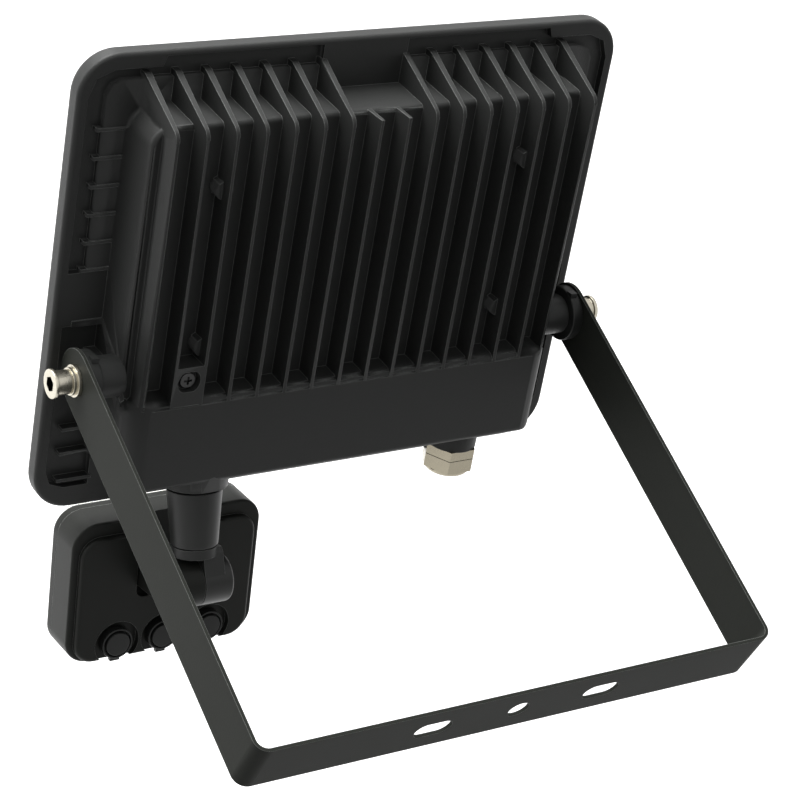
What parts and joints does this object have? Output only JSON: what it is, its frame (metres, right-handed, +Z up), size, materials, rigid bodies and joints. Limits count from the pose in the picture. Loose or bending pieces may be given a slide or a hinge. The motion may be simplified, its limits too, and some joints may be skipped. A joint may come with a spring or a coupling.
{
  "type": "motion sensor floodlight",
  "caption": "Flat finned floodlight tilting in a flat U bracket, with a motion sensor on a jointed neck below it.",
  "frame": {"origin": "centre of the bracket's wall face, on the middle of its slot row", "axes": "+Y out of the wall towards the lamp, +Z up, X along the row of slots and parallel to the tilt axis"},
  "size_m": [0.2134, 0.2062, 0.2198],
  "materials": {
    "bracket_paint": "satin black powder coat with a faint grain",
    "cast_paint": "satin black powder coat on a die casting",
    "clear_glass": "clear toughened glass",
    "black_rubber": "matt black rubber",
    "reflector_white": "white painted tray",
    "board_white": "white circuit board with a metal core",
    "led_yellow": "yellow phosphor",
    "zinc_steel": "zinc plated steel",
    "dark_steel": "blackened steel",
    "board_green": "green circuit board",
    "coil_yellow": "taped ferrite transformer",
    "can_black": "sleeved capacitor can",
    "terminal_grey": "grey terminal block",
    "black_plastic": "black moulded plastic",
    "bright_steel": "bright stainless steel",
    "nickel_brass": "nickel plated brass",
    "sensor_plastic": "black moulded plastic, slightly satin",
    "knob_plastic": "black moulded plastic",
    "lens_plastic": "milky moulded lens"
  },
  "bodies": {
    "bracket": {"bracket": "bracket_paint"},
    "lamp": {"housing": "cast_paint", "glass": "clear_glass", "glass_gasket": "black_rubber", "reflector": "reflector_white", "led_board": "board_white", "led_chips": "led_yellow", "board_screws": "zinc_steel", "back_screw": "dark_steel", "driver_board": "board_green", "driver_transformer": "coil_yellow", "driver_capacitor": "can_black", "terminal_block": "terminal_grey", "pivot_discs": "black_plastic", "flat_washers": "bright_steel", "spring_washers": "bright_steel", "pivot_bolts": "bright_steel", "gland_body": "nickel_brass", "gland_nut": "nickel_brass", "gland_locknut": "nickel_brass", "gland_seal": "black_rubber", "neck_collar": "black_plastic", "neck_seal": "black_rubber", "neck_nut": "zinc_steel"},
    "swivel": {"swivel": "black_plastic", "knuckle_screw": "dark_steel"},
    "sensor": {"knuckle_nut": "zinc_steel", "sensor_back": "sensor_plastic", "sensor_front": "sensor_plastic", "sensor_lens": "lens_plastic", "sensor_board": "board_green", "pyro_sensor": "zinc_steel"},
    "lux_knob": {"knob_lux": "knob_plastic"},
    "time_knob": {"knob_time": "knob_plastic"},
    "range_knob": {"knob_range": "knob_plastic"}
  },
  "joints": [
    {"name": "lamp_tilt", "type": "hinge", "parent": "bracket", "child": "lamp", "pos_m": [0, 0.146, 0], "axis": [1, 0, 0], "range_deg": [-66, 114]},
    {"name": "sensor_pan", "type": "hinge", "parent": "lamp", "child": "swivel", "pos_m": [-0.0485, 0.11244, -0.05855], "axis": [0, 0.6293, 0.7771], "range_deg": [-90, 90]},
    {"name": "sensor_tilt", "type": "hinge", "parent": "swivel", "child": "sensor", "pos_m": [-0.0485, 0.10394, -0.06904], "axis": [1, 0, 0], "range_deg": [-90, 10]},
    {"name": "lux_turn", "type": "hinge", "parent": "sensor", "child": "lux_knob", "pos_m": [-0.0663, 0.1051, -0.1049], "axis": [0, -0.8746, 0.4848], "range_deg": [-135, 135]},
    {"name": "time_turn", "type": "hinge", "parent": "sensor", "child": "time_knob", "pos_m": [-0.0485, 0.1051, -0.1049], "axis": [0, -0.8746, 0.4848], "range_deg": [-135, 135]},
    {"name": "range_turn", "type": "hinge", "parent": "sensor", "child": "range_knob", "pos_m": [-0.0307, 0.1051, -0.1049], "axis": [0, -0.8746, 0.4848], "range_deg": [-135, 135]}
  ]
}
